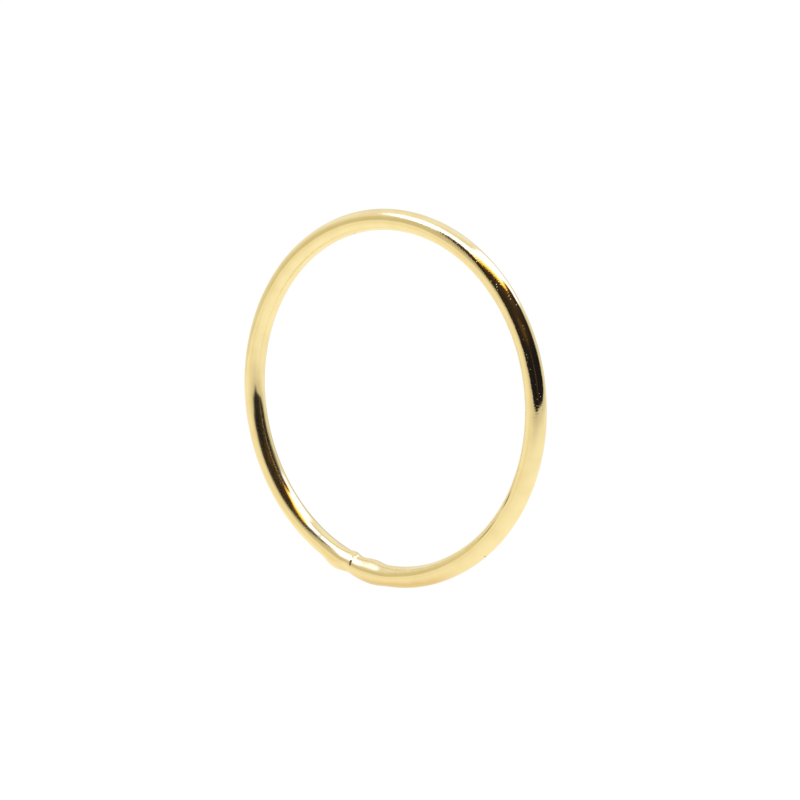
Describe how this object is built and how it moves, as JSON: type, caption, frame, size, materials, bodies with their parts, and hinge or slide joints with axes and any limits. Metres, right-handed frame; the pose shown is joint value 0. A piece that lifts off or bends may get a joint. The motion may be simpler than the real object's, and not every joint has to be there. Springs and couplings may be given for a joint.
{
  "type": "finger ring",
  "caption": "Plain finger ring of round polished gold-coloured wire, bent to a circle and soldered end to end, with the slightly lumpy joint left showing.",
  "frame": {"origin": "on the ring's own axis, at the surface that the ring lies on", "axes": "+Z along the ring's own axis, up as it lies; -Y towards the soldered joint; +X completes the right-handed frame"},
  "size_m": [0.0188, 0.0189, 0.0011],
  "materials": {
    "polished_gold": "mirror polished gold-filled wire, with fine drawing lines and a duller, pitted soldered joint"
  },
  "bodies": {
    "root": {"wire_band": "polished_gold"}
  },
  "joints": []
}
